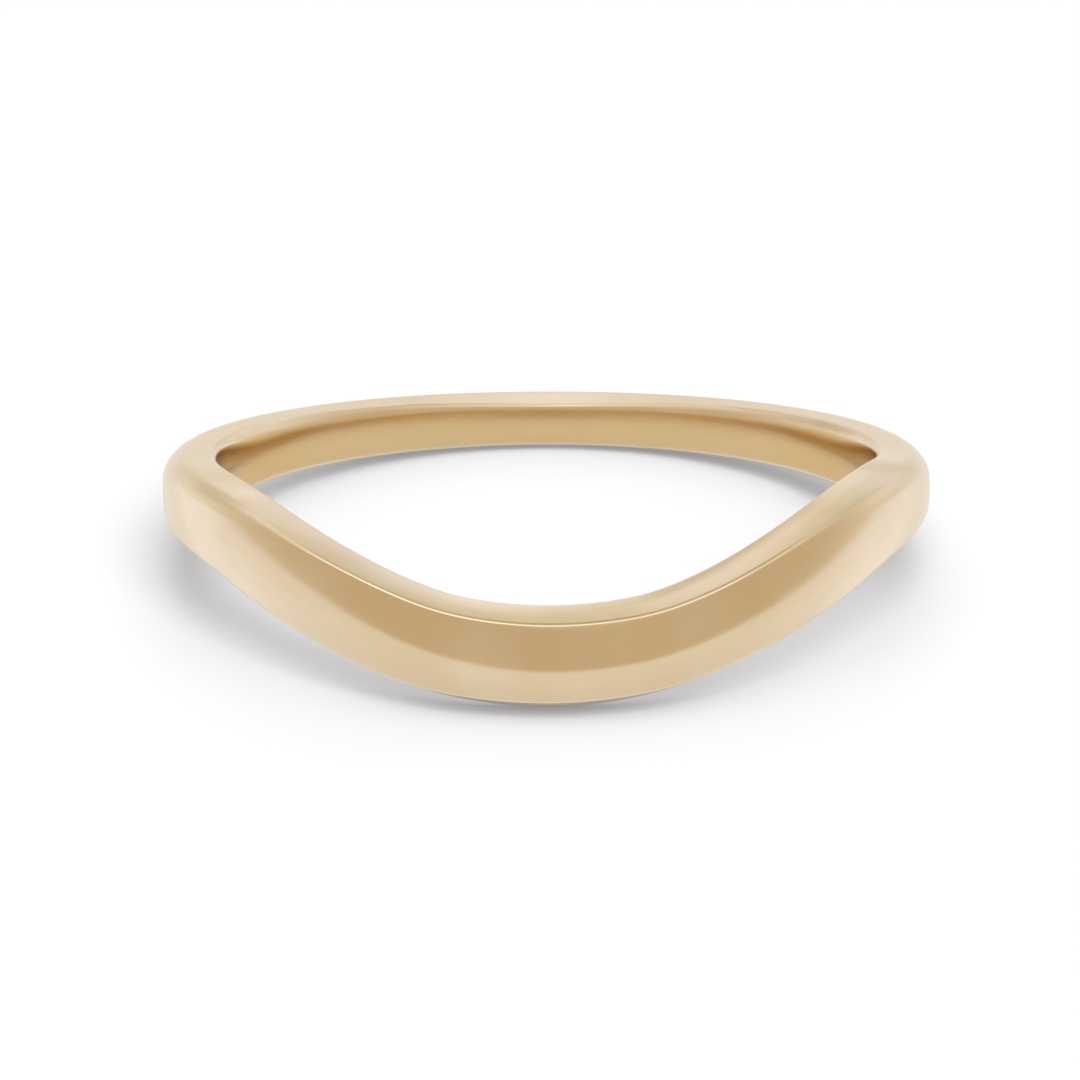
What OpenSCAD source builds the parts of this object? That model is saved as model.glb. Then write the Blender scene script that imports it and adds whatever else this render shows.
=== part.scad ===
// Curved wedding band: one plain ring of polished yellow gold whose front dips to a soft point.
// It lies on its side as it rests on a table, on the tip of the dip and the middle of the back.
// Millimetres, +Z up, X across the band, the dipped front towards -Y.
// The origin is on the table, at the middle of the box around the resting band.

/* [Finger hole] */
// Diameter of the finger hole (17.35 is US ring size 7)
hole_diameter = 17.35; // [14.1:0.05:22.6]
// Rounding of the hole's edges at the front, so that the band slides over a knuckle
hole_edge = 0.12; // [0.06:0.01:0.16]
// Wider rounding of the hole's upper edge behind the two sides
side_hole_edge = 0.36; // [0.24:0.01:0.42]

/* [Dip] */
// How far the front's middle lies below the level part of the band
dip = 2.7; // [1.2:0.02:3.2]

/* [Width across the outer face] */
// Width at the middle of the front
front_width = 1.98; // [1.6:0.01:2.5]
// Width at the shoulders, halfway from the front to the sides
shoulder_width = 2.12; // [1.6:0.01:2.5]
// Width at the two sides
side_width = 1.74; // [1.5:0.01:2.5]
// Width at the middle of the back
back_width = 1.34; // [1.24:0.01:2.2]

/* [Thickness from hole to crown] */
// Thickness at the middle of the front
front_thickness = 1.46; // [1.3:0.01:2]
// Thickness at the two sides
side_thickness = 1.52; // [1.3:0.01:2]
// Thickness at the middle of the back
back_thickness = 1.53; // [1.3:0.01:2]

/* [Section] */
// How far the band's sides fall from the hole's edge to the ridge, at the front
side_fall = 0.42; // [0:0.01:0.46]
// How far the upper side rises from the hole's edge to the ridge, at the middle of the back
back_rise = 0.2; // [0:0.01:0.24]
// Height of the domed outer face over its ridges, at the front
front_dome = 0.2; // [0.14:0.01:0.34]
// Height of the dome at the sides
side_dome = 0.08; // [0.06:0.01:0.3]
// Height of the dome at the back
back_dome = 0.41; // [0.25:0.01:0.42]
// How far the dome's crown line lies below mid-width, at the front
crown_drop = 0.22; // [0:0.01:0.26]
// Radius of the crisp ridge along the front
ridge_radius = 0.08; // [0.03:0.01:0.12]
// Radius of the softened upper edge at the sides
side_radius = 0.66; // [0.3:0.01:0.7]
// Radius of the softened lower edge at the sides
under_radius = 0.42; // [0.12:0.01:0.46]
// Radius of the softened edges at the back
back_radius = 0.36; // [0.15:0.01:0.38]

/* [Hidden] */

hole_radius = hole_diameter / 2;

// Each table runs round half of the band: angle from the middle of the front, then the size there.
dip_at       = [[0, dip], [15, 0.929 * dip], [30, 0.669 * dip], [45, 0.335 * dip],
                [60, 0.072 * dip], [74, 0], [180, 0]];
width_at     = [[0, front_width], [45, shoulder_width], [90, side_width], [180, back_width]];
thickness_at = [[0, front_thickness], [90, side_thickness], [180, back_thickness]];
dome_at      = [[0, front_dome], [45, 0.83 * front_dome + 0.17 * side_dome], [90, side_dome],
                [180, back_dome]];
crown_at     = [[0, crown_drop], [25, 0.68 * crown_drop], [45, 0.45 * crown_drop], [80, 0], [180, 0]];

// Above and below mid-width: rounding of the outer edge, rounding of the hole's edge, and how far the
// side falls from the one to the other.
upper = [[[0, ridge_radius], [34, ridge_radius], [46, 0.39 * side_radius], [60, 0.79 * side_radius],
          [90, side_radius], [120, 0.79 * side_radius], [180, back_radius]],
         [[0, hole_edge], [60, 1.15 * hole_edge], [95, 0.56 * side_hole_edge], [115, 0.94 * side_hole_edge],
          [131, side_hole_edge], [153, 0.83 * side_hole_edge], [180, 0.45 * side_hole_edge]],
         [[0, side_fall], [30, 0.6 * side_fall], [60, 0.19 * side_fall], [90, 0.05 * side_fall],
          [130, 0], [155, -0.3 * back_rise], [180, -back_rise]]];
lower = [[[0, ridge_radius], [36, ridge_radius], [50, 0.38 * under_radius], [66, 0.71 * under_radius],
          [90, under_radius], [180, 0.95 * back_radius]],
         [[0, hole_edge], [180, hole_edge]],
         [[0, side_fall], [30, 0.6 * side_fall], [60, 0.19 * side_fall], [90, 0.05 * side_fall],
          [180, 0]]];

// Slope of a table at row i: level at both ends and wherever the size turns round.
function rise(a, b) = (b[1] - a[1]) / (b[0] - a[0]);
function slope(table, i) = i == 0 || i == len(table) - 1 ? 0 :
    let (before = rise(table[i - 1], table[i]), after = rise(table[i], table[i + 1]))
    before * after <= 0 ? 0 : 2 * before * after / (before + after);

// The size at an angle, on a smooth curve through the rows.
function row_below(table, angle, i = 0) =
    i >= len(table) - 2 || angle < table[i + 1][0] ? i : row_below(table, angle, i + 1);
function read_row(table, angle) =
    let (i = row_below(table, angle), span = table[i + 1][0] - table[i][0],
         f = (angle - table[i][0]) / span, g = 1 - f)
    table[i][1] * (1 + 2 * f) * g * g + slope(table, i) * span * f * g * g
    + table[i + 1][1] * f * f * (3 - 2 * f) - slope(table, i + 1) * span * f * f * g;

// The same, evened out over eight degrees each way so that the polish runs on without a kink.
reach = 8;
function folded(angle) = let (a = abs(angle)) a > 180 ? 360 - a : a;
function total(list, i = 0) = i == len(list) ? 0 : list[i] + total(list, i + 1);
function size(table, angle) =
    total([for (step = [-3 : 3]) read_row(table, folded(angle + step * reach / 3)) * (4 - abs(step))]) / 16;

// Half of the section, from inside the hole out to the crown: [out from the hole's wall, up from mid-width].
edge_steps = 4;
ridge_steps = 3;
dome_steps = 4;
function half_section(angle, crown, edges) =
    let (half = size(width_at, angle) / 2, thick = size(thickness_at, angle),
         dome = size(dome_at, angle), round = size(edges[0], angle), ease = size(edges[1], angle),
         inner = half + size(edges[2], angle),
         bend = (half * half + dome * dome) / (2 * dome), centre = thick - bend,
         corner = centre + sqrt(bend * bend - (half + crown) * (half + crown)),
         run = norm([corner, half - inner]), along = [corner, half - inner] / run,
         inward = [along[1], -along[0]],
         from = [0, inner] + inward * round - [centre, -crown],
         ahead = from * along,
         start = -ahead + sqrt(ahead * ahead - from * from + (bend - round) * (bend - round)),
         middle = [0, inner] + along * start + inward * round,
         first = atan2(-inward[1], -inward[0]),
         last = atan2(middle[1] + crown, middle[0] - centre),
         reach = ease * tan((180 - first) / 2),
         over = [for (i = [1 : edge_steps]) let (a = 180 - (180 - first) * i / edge_steps)
             [ease, inner - reach] + ease * [cos(a), sin(a)]])
    concat(
        [[0, inner - reach] * 4 - over[0] * 3], over,
        [for (i = [0 : ridge_steps]) let (a = first + (last - first) * i / ridge_steps)
            middle + round * [cos(a), sin(a)]],
        [for (i = [1 : dome_steps - 1]) let (a = last * (1 - i / dome_steps))
            [centre + bend * cos(a), bend * sin(a) - crown]]);

function section(angle) =
    let (crown = size(crown_at, angle), top = half_section(angle, crown, upper),
         low = half_section(angle, -crown, lower), n = len(top))
    concat(top, [[size(thickness_at, angle), -crown]], [for (i = [n - 1 : -1 : 0]) [low[i][0], -low[i][1]]]);

// Sections stand square to the band's middle line, wrapped round the finger.
turn = 3;
stations = 360 / turn;
function lean(angle) =
    atan((size(dip_at, angle - 0.5) - size(dip_at, angle + 0.5))
         / ((hole_radius + size(thickness_at, angle) / 2) * PI / 180));
function placed(angle) =
    let (tip = lean(angle), middle = hole_radius + size(thickness_at, angle) / 2)
    [for (p = section(angle))
        let (a = angle - p[1] * sin(tip) / middle * 180 / PI, r = hole_radius + p[0])
        [r * sin(a), -r * cos(a), p[1] * cos(tip) - size(dip_at, angle)]];
rings = [for (i = [0 : stations - 1]) placed(i * turn - 180)];
across = len(rings[0]);
points = [for (ring = rings) each ring];
faces = [for (i = [0 : stations - 1], j = [0 : across - 1])
    let (k = (i + 1) % stations, m = (j + 1) % across,
         a = i * across + j, b = k * across + j, c = k * across + m, d = i * across + m)
    each [[a, b, c], [a, c, d]]];

// The resting lean: the tip of the dip and the back come down on the table together.
function lowest(ring, tilt) = min([for (p = ring) p[2] * cos(tilt) - p[1] * sin(tilt)]);
function resting(low, high, times) =
    let (middle = (low + high) / 2)
    times == 0 ? middle :
    lowest(rings[stations / 2], middle) < lowest(rings[0], middle) ?
        resting(middle, high, times - 1) : resting(low, middle, times - 1);
tilt = resting(0, 30, 24);
floor_level = lowest(rings[0], tilt);
depths = [for (p = points) p[1] * cos(tilt) + p[2] * sin(tilt)];

module band() {
    color([0.86, 0.77, 0.64])
    translate([0, -(min(depths) + max(depths)) / 2, -floor_level])
    rotate([-tilt, 0, 0])
    difference() {
        polyhedron(points, faces, convexity = 6);
        cylinder(r = hole_radius, h = 6 * dip + 12, center = true, $fn = 240);
    }
}

band();
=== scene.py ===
# A curved wedding band of pale yellow gold, lying on its side on a white table.
# The dip at its front faces the camera; it stands on the tip of the dip and the middle of the back.
import math

import bmesh
import bpy
from mathutils import Matrix, Vector


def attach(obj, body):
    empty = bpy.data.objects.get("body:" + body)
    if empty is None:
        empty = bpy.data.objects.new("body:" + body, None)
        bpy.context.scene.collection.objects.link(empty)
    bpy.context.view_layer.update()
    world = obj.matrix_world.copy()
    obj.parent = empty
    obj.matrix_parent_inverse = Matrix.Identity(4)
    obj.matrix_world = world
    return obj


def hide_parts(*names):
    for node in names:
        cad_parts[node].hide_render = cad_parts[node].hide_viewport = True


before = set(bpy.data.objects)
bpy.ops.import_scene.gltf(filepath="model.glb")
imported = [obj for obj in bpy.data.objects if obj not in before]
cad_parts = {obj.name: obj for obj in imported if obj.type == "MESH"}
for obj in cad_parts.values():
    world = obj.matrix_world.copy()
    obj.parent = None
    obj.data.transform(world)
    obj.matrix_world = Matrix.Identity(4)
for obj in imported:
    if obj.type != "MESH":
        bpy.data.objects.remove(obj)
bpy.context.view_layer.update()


# The band: one piece of 14 carat gold, cast, filed to a low dome outside and polished all over.
# Across the dip its outer face meets the upper and lower sides in a crisp ridge; round the
# shoulders and the back every edge is soft, and the hole is eased so that it slides on a finger.
# Sizes in millimetres, each row an angle from the middle of the front and the size there. Where
# the file took more off one side than the other, the angles run from the left (minus) to the right.
# The rises say how far the upper ridge and the hole's upper edge stand above their even height, the
# trim how far the lower side is filed back, and the wall's bow and level how the hole is rounded
# along the finger and how far up its tightest line lies.
HOLE = 17.35 / 2
DIP = [(0, 2.7), (15, 2.508), (30, 1.806), (45, 0.905), (60, 0.194), (74, 0), (180, 0)]
WIDTH = [(0, 1.98), (45, 2.12), (90, 1.74), (180, 1.34)]
THICKNESS = [(0, 1.46), (90, 1.52), (180, 1.53)]
SIDE_FALL = [(0, 0.42), (30, 0.25), (60, 0.08), (90, 0.02), (180, 0)]
DOME = [(0, 0.2), (45, 0.18), (90, 0.08), (180, 0.41)]
CROWN_DROP = [(-180, 0), (-80, 0), (-45, 0), (-25, 0.05), (0, 0.2), (25, 0.21), (45, 0.26), (80, 0),
              (180, 0)]
RIDGE_RISE = [(-180, 0), (-70, 0), (-33, 0.07), (-8, 0.03), (5, 0.01), (30, -0.06), (60, 0), (180, 0)]
INNER_RISE = [(-180, -0.2), (-155, -0.06), (-130, 0), (-70, 0), (-48, -0.04), (-25, 0), (30, 0),
              (52, 0.1), (68, 0.28), (85, 0.1), (97, 0), (130, 0), (155, -0.06), (180, -0.2)]
UNDER_TRIM = [(-180, 0), (5, 0), (25, 0.07), (45, 0.03), (80, 0.1), (120, 0), (180, 0)]
RIDGE = [(0, 0.08), (34, 0.08), (46, 0.26), (60, 0.52), (90, 0.66), (120, 0.52), (180, 0.36)]
UNDER_RIDGE = [(-180, 0.34), (-90, 0.3), (-66, 0.22), (-50, 0.13), (-36, 0.08), (36, 0.08), (50, 0.16),
               (66, 0.3), (90, 0.42), (180, 0.34)]
HOLE_EDGE = [(0, 0.12), (60, 0.14), (95, 0.2), (115, 0.34), (131, 0.36), (153, 0.3), (180, 0.16)]
UNDER_HOLE_EDGE = [(0, 0.12), (180, 0.12)]
WALL_BOW = [(0, 0.05), (80, 0.08), (110, 0.15), (180, 0.15)]
WALL_LEVEL = [(0, 0), (90, -0.2), (115, -0.38), (131, -0.12), (153, 0), (180, 0.19)]
SIDE_SWELL = [(0, 0.035), (45, 0.03), (90, 0), (180, 0)]
# Degrees over which the sizes are evened out, sections round the band, and points on each part of
# half a section.
EVENED_OVER = 8
STATIONS = 480
WALL_POINTS, HOLE_EDGE_POINTS, SIDE_POINTS, RIDGE_POINTS, DOME_POINTS = 5, 11, 6, 10, 13


def on_curve(rows, angle):
    """The size at an angle, on a smooth curve through the rows."""
    i = max(k for k in range(len(rows) - 1) if k == 0 or angle >= rows[k][0])

    def rise(k):
        return (rows[k + 1][1] - rows[k][1]) / (rows[k + 1][0] - rows[k][0])

    def slope(k):
        if k == 0 or k == len(rows) - 1 or rise(k - 1) * rise(k) <= 0:
            return 0.0
        return 2 * rise(k - 1) * rise(k) / (rise(k - 1) + rise(k))

    span = rows[i + 1][0] - rows[i][0]
    f = (angle - rows[i][0]) / span
    g = 1 - f
    return (rows[i][1] * (1 + 2 * f) * g * g + slope(i) * span * f * g * g
            + rows[i + 1][1] * f * f * (3 - 2 * f) - slope(i + 1) * span * f * f * g)


def size_at(rows, angle):
    """The same, evened out over some degrees each way, as filing and polishing do."""
    total = 0.0
    for step in range(-3, 4):
        a = (angle + step * EVENED_OVER / 3 + 180) % 360 - 180
        total += on_curve(rows, a if rows[0][0] < 0 else abs(a)) * (4 - abs(step))
    return total / 16


def arc(middle, radius, first, last, steps):
    return [middle + radius * Vector((math.cos(first + (last - first) * i / steps),
                                      math.sin(first + (last - first) * i / steps)))
            for i in range(steps + 1)]


def bowed(start, end, swell, steps):
    """Points between two ends on a shallow bow that stands proud by swell at its middle."""
    way = (end - start).normalized()
    proud = Vector((-way.y, way.x)) * 4 * swell
    return [start.lerp(end, i / steps) + proud * i / steps * (1 - i / steps) for i in range(1, steps)]


def half_section(angle, crown, off, inner_off, level, ridges, hole_edges):
    """From the hole's wall over the edge, side, ridge and dome to the crown, as (out, up) points."""
    half = size_at(WIDTH, angle) / 2 + off
    thick, dome = size_at(THICKNESS, angle), size_at(DOME, angle)
    ridge, inner = size_at(ridges, angle), half - off + inner_off + size_at(SIDE_FALL, angle)
    bend = (half * half + dome * dome) / (2 * dome)
    centre = thick - bend
    corner = centre + math.sqrt(bend * bend - (half + crown) ** 2)
    along = Vector((corner, half - inner)).normalized()
    inward = Vector((along.y, -along.x))
    offset = Vector((0, inner)) + inward * ridge - Vector((centre, -crown))
    ahead = offset.dot(along)
    start = -ahead + math.sqrt(ahead * ahead - offset.dot(offset) + (bend - ridge) ** 2)
    middle = Vector((0, inner)) + along * start + inward * ridge
    side = math.atan2(-inward.y, -inward.x)
    last = math.atan2(middle.y + crown, middle.x - centre)
    edge, swell = size_at(hole_edges, angle), size_at(SIDE_SWELL, angle)
    bow, top = size_at(WALL_BOW, angle), inner - edge
    wall_turn = math.atan(2 * bow * (top - level))
    ease = bow * top * (top - 2 * level)
    side_turn = math.atan(4 * swell / corner)
    reach = edge * math.tan((math.pi - side) / 2)
    edge_middle = Vector((0, inner)) + along * (ease + reach) + inward * edge
    over = arc(edge_middle, edge, math.pi - wall_turn, side + side_turn, HOLE_EDGE_POINTS - 1)
    up_wall = [i / (WALL_POINTS + 1) for i in range(1, WALL_POINTS + 1)]
    wall = [over[0] * f - Vector((bow * over[0].y ** 2 * f * (1 - f), 0)) for f in up_wall]
    crest = arc(middle, ridge, side - side_turn, last, RIDGE_POINTS - 1)
    return (wall + over + bowed(over[-1], crest[0], swell, SIDE_POINTS + 1) + crest
            + arc(Vector((centre, -crown)), bend, last, 0, DOME_POINTS + 1)[1:-1])


def section(angle):
    crown, rise, inner_rise, trim, level = (
        size_at(rows, angle) for rows in (CROWN_DROP, RIDGE_RISE, INNER_RISE, UNDER_TRIM, WALL_LEVEL))
    low = half_section(angle, -crown, -trim, 0, -level, UNDER_RIDGE, UNDER_HOLE_EDGE)
    return ([Vector((0, 0))] + half_section(angle, crown, rise, inner_rise, level, RIDGE, HOLE_EDGE)
            + [Vector((size_at(THICKNESS, angle), -crown))]
            + [Vector((p.x, -p.y)) for p in reversed(low)])


def station(angle):
    """One section stood square to the band's middle line, in the band's own level frame."""
    middle = HOLE + size_at(THICKNESS, angle) / 2
    fall = size_at(DIP, angle - 0.5) - size_at(DIP, angle + 0.5)
    tip = math.atan(fall / math.radians(middle))
    points = []
    for u, v in section(angle):
        a = math.radians(angle) - v * math.sin(tip) / middle
        r = HOLE + u
        points.append(Vector((r * math.sin(a), -r * math.cos(a),
                              v * math.cos(tip) - size_at(DIP, angle))))
    return points


rings = [station(360 * i / STATIONS - 180) for i in range(STATIONS)]


def lowest(ring, lean):
    return min(p.z * math.cos(lean) - p.y * math.sin(lean) for p in ring)


# The band leans back until the tip of the dip and the back touch the table together.
low, high = 0.0, math.radians(30)
for _ in range(40):
    lean = (low + high) / 2
    if lowest(rings[STATIONS // 2], lean) < lowest(rings[0], lean):
        low = lean
    else:
        high = lean
depths = [p.y * math.cos(lean) + p.z * math.sin(lean) for ring in rings for p in ring]
rest = (Matrix.Scale(0.001, 4)
        @ Matrix.Translation((0, -(min(depths) + max(depths)) / 2, -lowest(rings[0], lean)))
        @ Matrix.Rotation(-lean, 4, "X"))

metal = bmesh.new()
rows = [[metal.verts.new(rest @ p) for p in ring] for ring in rings]
across = len(rings[0])
for i in range(STATIONS):
    here, there = rows[i], rows[(i + 1) % STATIONS]
    for j in range(across):
        k = (j + 1) % across
        metal.faces.new((here[j], here[k], there[k], there[j])).smooth = True
metal.normal_update()
band_mesh = bpy.data.meshes.new("gold_band")
metal.to_mesh(band_mesh)
metal.free()

# The way the polish runs, in millimetres from the middle of the front, round the section and out
# from the hole; which side a point is on (minus is left); how far it lies above (plus) or below
# (minus) the nearer ridge; and what is in the hole.
MIDDLE_RADIUS = 9.5
lay, sideways, off_ridge, in_hole = [], [], [], []
crest = WALL_POINTS + HOLE_EDGE_POINTS + SIDE_POINTS + RIDGE_POINTS // 2
for i in range(STATIONS):
    points = section(360 * i / STATIONS - 180)
    round_way = [0.0]
    for p, q in zip(points, points[1:]):
        round_way.append(round_way[-1] + (q - p).length)
    for j, p in enumerate(points):
        upper = j <= across // 2
        sideways.append(math.radians(360 * i / STATIONS - 180) * MIDDLE_RADIUS)
        lay += [abs(sideways[-1]), round_way[j], p.x]
        off_ridge.append(round_way[crest] - round_way[j] if upper
                         else round_way[j] - round_way[across - crest])
        step = (j if upper else across - j) - WALL_POINTS
        in_hole.append(min(1.0, max(0.0, 1 - step / HOLE_EDGE_POINTS)))
for name, kind, field, values in (("lay", "FLOAT_VECTOR", "vector", lay),
                                  ("sideways", "FLOAT", "value", sideways),
                                  ("off_ridge", "FLOAT", "value", off_ridge),
                                  ("in_hole", "FLOAT", "value", in_hole)):
    band_mesh.attributes.new(name, kind, "POINT").data.foreach_set(field, values)

band = bpy.data.objects.new("gold_band", band_mesh)
bpy.context.scene.collection.objects.link(band)

gold = bpy.data.materials.new("polished pale gold")
gold.use_nodes = True
nodes, links = gold.node_tree.nodes, gold.node_tree.links
shader = nodes["Principled BSDF"]
shader.inputs["Metallic"].default_value = 1.0


def surface(name):
    read = nodes.new("ShaderNodeAttribute")
    read.attribute_name = name
    return read


def soft_step(value, low, high, start=0.0, end=1.0):
    """From start below low to end above high, with no corner at either."""
    ramp = nodes.new("ShaderNodeMapRange")
    ramp.interpolation_type = "SMOOTHSTEP"
    for name, size in (("From Min", low), ("From Max", high), ("To Min", start), ("To Max", end)):
        ramp.inputs[name].default_value = size
    links.new(value, ramp.inputs["Value"])
    return ramp.outputs["Result"]


def blended(share, first, second):
    mix = nodes.new("ShaderNodeMix")
    mix.data_type = "RGBA"
    links.new(share, mix.inputs["Factor"])
    for name, colour in (("A", first), ("B", second)):
        if isinstance(colour, tuple):
            mix.inputs[name].default_value = (*colour, 1)
        else:
            links.new(colour, mix.inputs[name])
    return mix.outputs["Result"]


def worked_out(operation, *values):
    step = nodes.new("ShaderNodeMath")
    step.operation = operation
    for socket, value in zip(step.inputs, values):
        if isinstance(value, (int, float)):
            socket.default_value = value
        else:
            links.new(value, socket)
    return step.outputs[0]


# The hole is painted a deeper, darker yellow than the outside: painted shade for the light passed
# between its walls.
# The outside is painted paler where it is seen at a low angle, a painted reflection, and a little less
# pale again right at its outline.
BUFFED, PAINTED_GRAZING_REFLECTION, PAINTED_OUTLINE_REFLECTION = (0.685, 0.535, 0.34), (0.845, 0.71, 0.535), (0.73, 0.58, 0.385)
PAINTED_SHADE_HOLE_SIDES, PAINTED_SHADE_HOLE_BACK = (0.66, 0.45, 0.20), (0.655, 0.475, 0.245)
in_hole = surface("in_hole").outputs["Fac"]
edge_on = nodes.new("ShaderNodeLayerWeight")
edge_on.inputs["Blend"].default_value = 0.5
facing = edge_on.outputs["Facing"]
outside = blended(soft_step(facing, 0.1, 0.58), BUFFED, PAINTED_GRAZING_REFLECTION)
outside = blended(soft_step(facing, 0.62, 0.8), outside, PAINTED_OUTLINE_REFLECTION)

# Handling leaves the buffed surface a little uneven: broad, soft patches of paler and deeper tone,
# and along the band the fine lines of the last polish, which show only as a faint deeper tone.
WORN_PATCH, POLISH_LINE = (0.74, 0.60, 0.42), (0.62, 0.48, 0.30)
spot = nodes.new("ShaderNodeTexCoord").outputs["Object"]


def grain(vector, scale, stretch, detail):
    spread = nodes.new("ShaderNodeMapping")
    spread.inputs["Scale"].default_value = stretch
    links.new(vector, spread.inputs["Vector"])
    noise = nodes.new("ShaderNodeTexNoise")
    noise.inputs["Scale"].default_value = scale
    noise.inputs["Detail"].default_value = detail
    links.new(spread.outputs["Vector"], noise.inputs["Vector"])
    return noise.outputs["Fac"]


lay = surface("lay").outputs["Vector"]
patches = grain(spot, 420, (1, 1, 1), 2)
lines = grain(lay, 1, (0.3, 5, 5), 1)
outside = blended(soft_step(patches, 0.35, 0.7), outside, blended(patches, outside, WORN_PATCH))
outside = blended(soft_step(lines, 0.45, 0.7, 0, 0.08), outside, POLISH_LINE)

# A painted highlight runs along the ridge, with a thin painted dark line above it for the dim
# reflection there. Both follow the crisp part of the ridge only, and the painted highlight ends before
# the right shoulder.
PAINTED_DARK_LINE, PAINTED_HIGHLIGHT_LINE = (0.50, 0.385, 0.235), (0.90, 0.74, 0.52)
split = nodes.new("ShaderNodeSeparateXYZ")
links.new(lay, split.inputs[0])
away = split.outputs["X"]
sideways = surface("sideways").outputs["Fac"]
above = surface("off_ridge").outputs["Fac"]
crisp = soft_step(away, 6.2, 7.8, 1, 0)
line = worked_out("MULTIPLY", soft_step(above, 0.02, 0.06), soft_step(above, 0.08, 0.13, 1, 0))
line = worked_out("MULTIPLY", line, worked_out("MULTIPLY", crisp, soft_step(sideways, -6, 2, 0.35, 1)))
outside = blended(line, outside, PAINTED_DARK_LINE)
line = worked_out("MULTIPLY", soft_step(above, -0.037, -0.02), soft_step(above, 0, 0.02, 1, 0))
line = worked_out("MULTIPLY", line, worked_out("MULTIPLY", crisp, soft_step(sideways, 4.8, 6.2, 1, 0)))
outside = blended(line, outside, PAINTED_HIGHLIGHT_LINE)
# Painted shade in the hole: deepest at its front and sides, a little less deep at the back.
hole_shade = blended(soft_step(away, 19, 23), PAINTED_SHADE_HOLE_SIDES, PAINTED_SHADE_HOLE_BACK)
links.new(blended(soft_step(in_hole, 0.75, 1), outside, hole_shade), shader.inputs["Base Color"])

# The front of the dip has the brightest polish; it is duller round the sides and in the hole.
rough = worked_out("MULTIPLY", soft_step(in_hole, 0.4, 0.9, 1, 0), soft_step(away, 2, 11, 0.12, 0.25))
rough_hole = worked_out("MULTIPLY", soft_step(in_hole, 0.4, 0.9), soft_step(away, 18, 29, 0.18, 0.24))
rough = worked_out("ADD", rough, rough_hole)
rough = worked_out("ADD", rough, soft_step(patches, 0.4, 0.75, 0, 0.02))

# A nick no wider than a hair on the left side, where the band was knocked.
NICK_AT = (-0.00958, -0.0027, 0.00372)
knock = nodes.new("ShaderNodeVectorMath")
knock.operation = "DISTANCE"
knock.inputs[1].default_value = NICK_AT
links.new(spot, knock.inputs[0])
nick = soft_step(knock.outputs["Value"], 0.00003, 0.00012, 1, 0)
links.new(worked_out("ADD", rough, worked_out("MULTIPLY", nick, 0.3)), shader.inputs["Roughness"])


def raised(height, how_far, over=None):
    relief = nodes.new("ShaderNodeBump")
    relief.inputs["Distance"].default_value = how_far
    links.new(height, relief.inputs["Height"])
    if over is not None:
        links.new(over, relief.inputs["Normal"])
    return relief.outputs["Normal"]


relief = raised(patches, 0.000006)
relief = raised(soft_step(knock.outputs["Value"], 0.00002, 0.00012, 0, 1), 0.00002, relief)
links.new(relief, shader.inputs["Normal"])
band_mesh.materials.append(gold)

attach(band, "root")
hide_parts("band")


# The table: a wide sheet of matt white acrylic under the band, level with its two points of rest.
# The sheet is lit a little from below, so that no shadow on it goes black.
table_mesh = bpy.data.meshes.new("table_top")
top = bmesh.new()
bmesh.ops.create_grid(top, x_segments=1, y_segments=1, size=2)
top.to_mesh(table_mesh)
top.free()
table = bpy.data.objects.new("table_top", table_mesh)
bpy.context.scene.collection.objects.link(table)
acrylic = bpy.data.materials.new("matt white acrylic")
acrylic.use_nodes = True
sheet = acrylic.node_tree.nodes["Principled BSDF"]
sheet.inputs["Base Color"].default_value = (0.330, 0.336, 0.348, 1)
sheet.inputs["Roughness"].default_value = 0.9
sheet.inputs["Specular IOR Level"].default_value = 0.1
sheet.inputs["Emission Color"].default_value = (0.95, 0.98, 1.08, 1)
sheet.inputs["Emission Strength"].default_value = 0.24
table_mesh.materials.append(acrylic)


# The light: the cool white cloth walls and roof of a light tent, brightest at a small lamp over the
# top. Its opening, warmer and dimmer, is on the side where the camera looks in. Behind on the left
# the cloth is brighter high up and dim low in the corner; behind on the right it is a little dimmer.
WALL, LOW_WALL = (1.05, 1.04, 1.06), (0.97, 0.93, 0.83)
ROOF_EDGE, ROOF, ROOF_LAMP = (0.85, 0.81, 0.68), (1.15, 1.14, 1.12), (3.0, 2.9, 2.8)
BRIGHT_CLOTH, DIM_CORNER, OPENING = (1.01, 0.98, 0.98), (0.70, 0.64, 0.52), (0.775, 0.68, 0.53)
room = bpy.data.worlds.new("light tent")
bpy.context.scene.world = room
room.use_nodes = True
nodes, links = room.node_tree.nodes, room.node_tree.links
nodes.clear()
where = nodes.new("ShaderNodeTexCoord")
apart = nodes.new("ShaderNodeSeparateXYZ")
links.new(where.outputs["Generated"], apart.inputs[0])

# Both in degrees: how far a way points off to either side of the front, and how high.
DEGREES = 180 / math.pi
side = worked_out("ARCTAN2", apart.outputs["X"], worked_out("MULTIPLY", apart.outputs["Y"], -1))
side = worked_out("MULTIPLY", worked_out("ABSOLUTE", side), DEGREES)
height = worked_out("MULTIPLY", worked_out("ARCSINE", apart.outputs["Z"]), DEGREES)
across_tent = apart.outputs["X"]
tent = blended(soft_step(height, 20, 48), WALL, ROOF_EDGE)
tent = blended(soft_step(height, 55, 75), tent, ROOF)
cloth = worked_out("MULTIPLY", soft_step(across_tent, -0.15, 0.03, 1, 0), soft_step(height, 30, 46))
tent = blended(worked_out("MULTIPLY", cloth, soft_step(side, 115, 150)), tent, BRIGHT_CLOTH)
tent = blended(soft_step(height, 4, 20, 1, 0), tent, LOW_WALL)
corner = worked_out("MULTIPLY", soft_step(across_tent, -0.24, 0.02, 1, 0), soft_step(side, 105, 135))
corner = worked_out("MULTIPLY", corner, soft_step(height, 2, 22))
tent = blended(worked_out("MULTIPLY", corner, soft_step(height, 33, 43, 1, 0)), tent, DIM_CORNER)
opening = worked_out("MULTIPLY", soft_step(side, 75, 145, 1, 0), soft_step(height, 44, 56, 1, 0))
tent = blended(opening, tent, OPENING)


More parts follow.
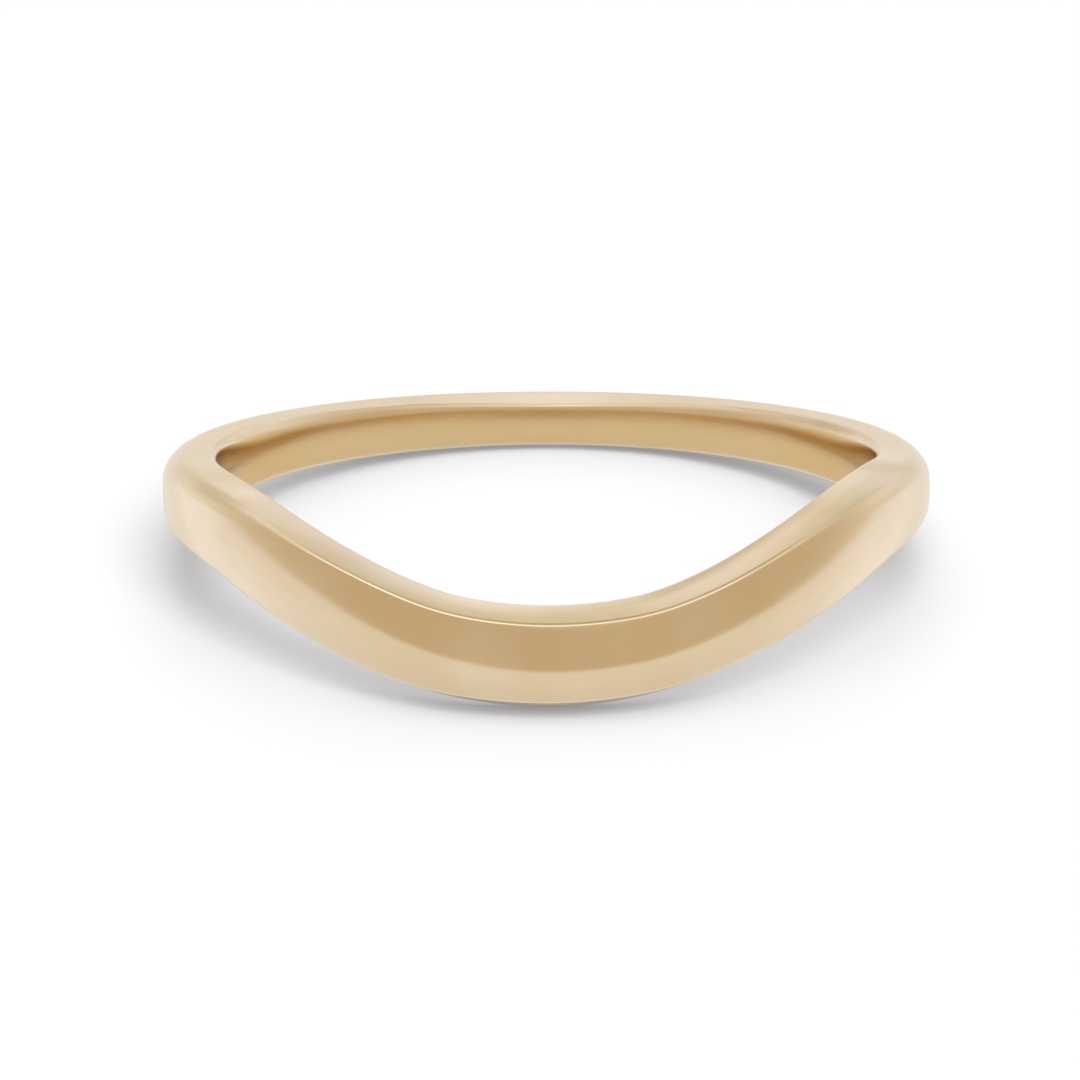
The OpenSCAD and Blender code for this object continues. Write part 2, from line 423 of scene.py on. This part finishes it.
def off_way(x, y, z):
    """Degrees between the way looked along and the way (x, y, z)."""
    toward = nodes.new("ShaderNodeVectorMath")
    toward.operation = "DOT_PRODUCT"
    toward.inputs[1].default_value = Vector((x, y, z)).normalized()
    links.new(where.outputs["Generated"], toward.inputs[0])
    return worked_out("MULTIPLY", worked_out("ARCCOSINE", toward.outputs["Value"]), DEGREES)


tent = blended(soft_step(off_way(-0.09, 0, 1), 3, 7, 1, 0), tent, ROOF_LAMP)
glow = nodes.new("ShaderNodeBackground")
links.new(tent, glow.inputs["Color"])
dimmer = worked_out("MULTIPLY", soft_step(across_tent, 0, 0.2, 0, -0.11), soft_step(side, 115, 150))
links.new(worked_out("ADD", dimmer, 1), glow.inputs["Strength"])
sky = nodes.new("ShaderNodeOutputWorld")
links.new(glow.outputs[0], sky.inputs[0])

# Three soft lamps light the table only: before the band above the camera, behind it, and overhead.
for name, size, energy, place in (("front_lamp", 0.5, 7.0, Vector((0.11, -0.485, 0.495))),
                                  ("back_lamp", 0.5, 1.6, Vector((0, 0.6, 0.36))),
                                  ("top_lamp", 1.0, 3.45, Vector((0, 0, 0.7)))):
    soft_lamp = bpy.data.lights.new(name, "AREA")
    soft_lamp.shape = "DISK"
    soft_lamp.size = size
    soft_lamp.energy = energy
    hung = bpy.data.objects.new(name, soft_lamp)
    hung.location = place
    hung.rotation_euler = place.to_track_quat("Z", "Y").to_euler()
    hung.visible_glossy = False
    bpy.context.scene.collection.objects.link(hung)


# The camera: a long lens a quarter of a metre away, looking down on the dip at the photograph's
# angle. The hole's middle lies at its place in the picture, in pixels from the upper left.
DISTANCE = 0.25
PICTURE = 1080
PIXELS_PER_MM = 37.61
FILM = 36
OVER_RING = 11.5
TURN = 0.18
ROLL = -0.06
HOLE_MIDDLE = (546.25, 485.1)

camera = bpy.data.cameras.new("camera")
camera.sensor_width = FILM
camera.lens = FILM * PIXELS_PER_MM * DISTANCE * 1000 / PICTURE
camera.clip_start, camera.clip_end = 0.01, 10
eye = bpy.data.objects.new("camera", camera)
bpy.context.scene.collection.objects.link(eye)
middle = rest @ Vector((0, 0, 0))
up = math.radians(OVER_RING) + lean
turn = math.radians(TURN)
away = Vector((-math.cos(up) * math.sin(turn), -math.cos(up) * math.cos(turn), math.sin(up)))
eye.location = middle + away * DISTANCE
look = (-away).to_track_quat("-Z", "Y")
pan, nod = (math.atan((at - PICTURE / 2) / (PIXELS_PER_MM * DISTANCE * 1000)) for at in HOLE_MIDDLE)
eye.rotation_mode = "QUATERNION"
eye.rotation_quaternion = (look.to_matrix() @ Matrix.Rotation(pan, 3, "Y")
                           @ Matrix.Rotation(nod, 3, "X")
                           @ Matrix.Rotation(math.radians(ROLL), 3, "Z")).to_quaternion()
bpy.context.scene.camera = eye
bpy.context.scene.view_settings.view_transform = "Standard"
